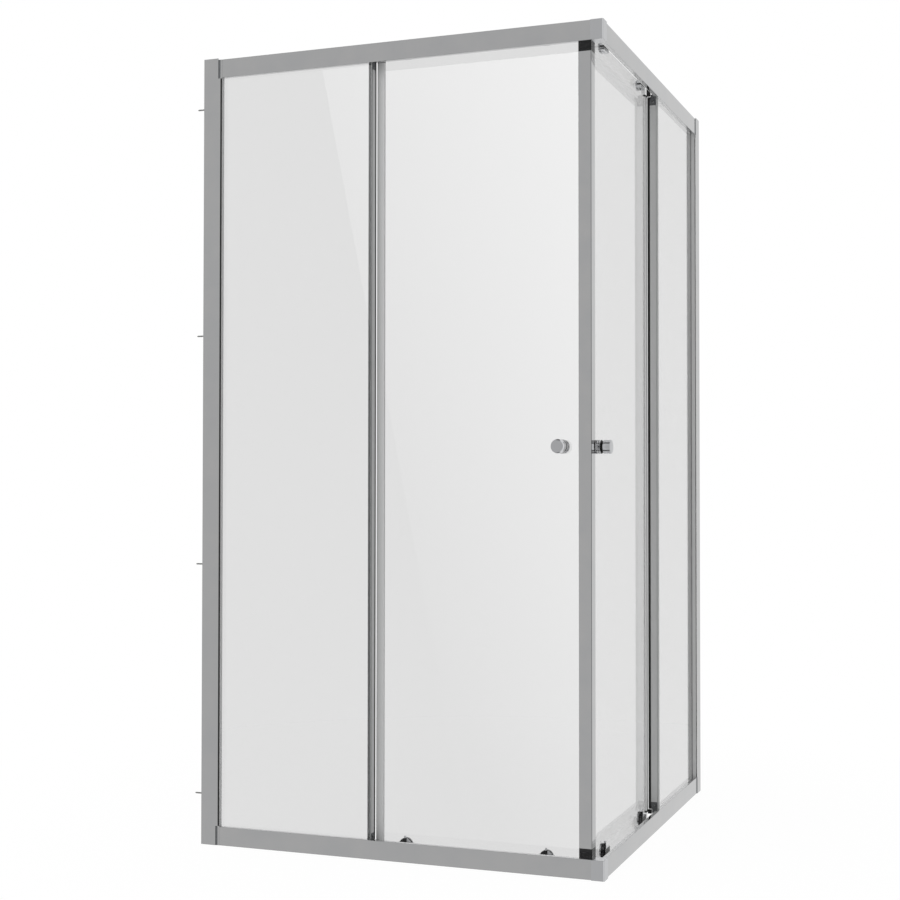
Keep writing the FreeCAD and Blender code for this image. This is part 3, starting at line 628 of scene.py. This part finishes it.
band = product(step(steep, band_start, 0.0, band_depth), step(steep, band_end, 1.0, 0.0))
dimmed = add(tree, "ShaderNodeMath", {0: 1.0, 1: band}, operation="SUBTRACT").outputs[0]
window = product(step(way["X"], window_right, 0.0, window_light), step(way["Y"], window_front, 0.0, 1.0))
studio = add(tree, "ShaderNodeMath", {0: product(grade.outputs[0], dimmed), 1: window}, operation="ADD")
reflected = add(tree, "ShaderNodeBackground", {"Strength": studio.outputs[0]})
even = add(tree, "ShaderNodeBackground", {"Strength": even_light})
white = add(tree, "ShaderNodeBackground", {"Strength": 1.0})
for background in (reflected, even, white):
    background.inputs["Color"].default_value = linear("ffffff")
lit = add(tree, "ShaderNodeMixShader", {
    0: rays.outputs["Is Glossy Ray"], 1: even.outputs[0], 2: reflected.outputs[0]})
seen = add(tree, "ShaderNodeMath", {
    0: rays.outputs["Is Camera Ray"], 1: rays.outputs["Is Transmission Ray"]}, operation="MAXIMUM")
mixed = add(tree, "ShaderNodeMixShader", {0: seen.outputs[0], 1: lit.outputs[0], 2: white.outputs[0]})
add(tree, "ShaderNodeOutputWorld", {"Surface": mixed.outputs[0]})

# Floor: pale and matt under the enclosure, where it takes a soft shadow, and plain white further out
floor_size, shadow_reach, shadow_share = 60.0, (0.75, 1.6), 0.03
bpy.ops.mesh.primitive_plane_add(size=floor_size)
floor = bpy.context.object
floor.name = "floor"
made, tree = material("pale_floor")
place = add(tree, "ShaderNodeTexCoord").outputs["Object"]
distance = add(tree, "ShaderNodeVectorMath", {0: place}, operation="LENGTH").outputs["Value"]
near = add(tree, "ShaderNodeMapRange", {
    "Value": distance, "From Min": shadow_reach[0], "From Max": shadow_reach[1],
    "To Min": shadow_share, "To Max": 0.0}, interpolation_type="SMOOTHSTEP")
matt = add(tree, "ShaderNodeBsdfDiffuse", {"Color": linear("fafafa")})
glow = add(tree, "ShaderNodeEmission", {"Color": linear("ffffff"), "Strength": 1.0})
close(tree, add(tree, "ShaderNodeMixShader", {0: near.outputs[0], 1: glow.outputs[0], 2: matt.outputs[0]}))
floor.data.materials.append(made)
floor.visible_glossy = False

# Soft light in front on the left, for the front panes alone: its slanting edge shows in them
# as a straight, faint line, and it grows brighter to the upper right
sheen_rise, sheen_base, sheen_least = (0.6405, 0.0, 0.2764), 1.5127, 0.05
sheen_slant = math.radians(11.5)
sheen_data = bpy.data.lights.new("sheen", "AREA")
sheen = bpy.data.objects.new("sheen", sheen_data)
scene.collection.objects.link(sheen)
sheen_data.shape = "RECTANGLE"
sheen_data.size, sheen_data.size_y = 1.9, 10.0
sheen_data.energy = 108.3
sheen_data.use_nodes = True
tree = sheen_data.node_tree
tree.nodes.clear()
spot = add(tree, "ShaderNodeNewGeometry").outputs["Position"]
slope = add(tree, "ShaderNodeVectorMath", {0: spot, 1: sheen_rise}, operation="DOT_PRODUCT")
power = add(tree, "ShaderNodeMath", {0: slope.outputs["Value"], 1: sheen_base}, operation="ADD")
power = add(tree, "ShaderNodeMath", {0: power.outputs[0], 1: sheen_least}, operation="MAXIMUM")
glow = add(tree, "ShaderNodeEmission", {"Strength": power.outputs[0]})
add(tree, "ShaderNodeOutputLight", {"Surface": glow.outputs[0]})
sheen.location = (-1.479, -6.011, 1.141)
sheen.rotation_euler = (math.radians(90), -sheen_slant, 0.0)
sheen.visible_transmission = False
glazed = bpy.data.collections.new("glazed")
front_panes = panes[:2]
for made in front_panes:
    glazed.objects.link(made)
sheen.light_linking.receiver_collection = glazed

# Camera at the photo's place
camera_data = bpy.data.cameras.new("camera")
camera = bpy.data.objects.new("camera", camera_data)
scene.collection.objects.link(camera)
camera_data.sensor_width = 36.0
camera_data.lens = 59.094
camera_data.shift_x = -0.0617
camera.location = (1.38867, -3.62706, 0.87215)
camera.rotation_euler = (math.radians(91.1706), 0.0, math.radians(19.4996))
scene.camera = camera

# One soft lamp from the upper left, too broad to leave a hard shadow
lamp_target = Vector((0, 0, 0.9))
lamp_data = bpy.data.lights.new("soft_lamp", "AREA")
lamp = bpy.data.objects.new("soft_lamp", lamp_data)
scene.collection.objects.link(lamp)
lamp_data.energy = 60.0
lamp_data.size = 3.0
lamp.location = (-1.5, -3.5, 3.2)
lamp.rotation_euler = (lamp_target - lamp.location).to_track_quat("-Z", "Y").to_euler()
lamp.visible_glossy = False
lamp.visible_transmission = False

scene.view_settings.view_transform = "Standard"
